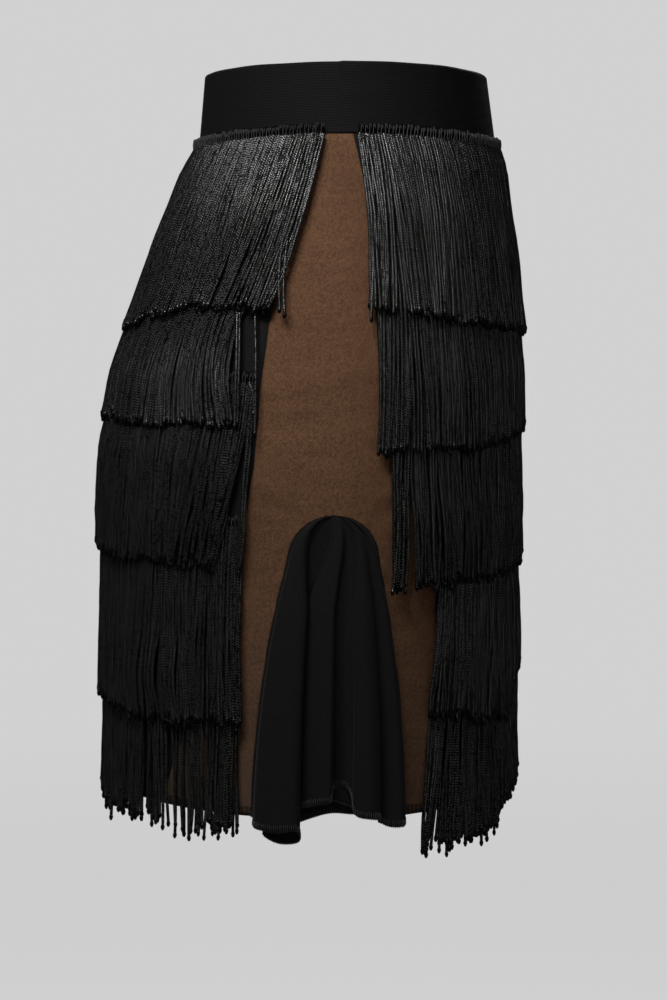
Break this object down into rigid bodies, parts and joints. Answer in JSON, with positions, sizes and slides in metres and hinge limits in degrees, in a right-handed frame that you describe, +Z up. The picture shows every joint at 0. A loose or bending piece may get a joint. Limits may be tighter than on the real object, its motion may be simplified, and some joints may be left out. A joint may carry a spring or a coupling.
{
  "type": "fringe mini skirt",
  "caption": "Close-fitting short skirt with a wide elastic waistband, tiers of hanging cord fringe front and back, sheer side panels and a folded godet at each side hem.",
  "frame": {"origin": "centre of the waistband at half its height, on the axis of the wearer's waist", "axes": "+Z up along the wearer's waist axis, +Y towards the wearer's back, so the front of the skirt faces -Y and the wearer's right side faces -X"},
  "size_m": [0.3664, 0.2561, 0.445],
  "materials": {
    "elastic": "matt ribbed elastic",
    "jersey": "matt stretch jersey",
    "side_mesh": "fine matt stretch mesh",
    "godet_cloth": "matt stretch crepe",
    "cord": "soft twisted cord with a faint sheen"
  },
  "bodies": {
    "root": {"waistband": "elastic", "front_panel": "jersey", "back_panel": "jersey", "side_panel_right": "side_mesh", "side_panel_left": "side_mesh", "godet_right": "godet_cloth", "godet_left": "godet_cloth", "fringe_front_1": "cord", "fringe_back_1": "cord", "fringe_front_2": "cord", "fringe_back_2": "cord", "fringe_front_3": "cord", "fringe_back_3": "cord", "fringe_front_4": "cord", "fringe_back_4": "cord", "fringe_front_5": "cord", "fringe_back_5": "cord"}
  },
  "joints": []
}
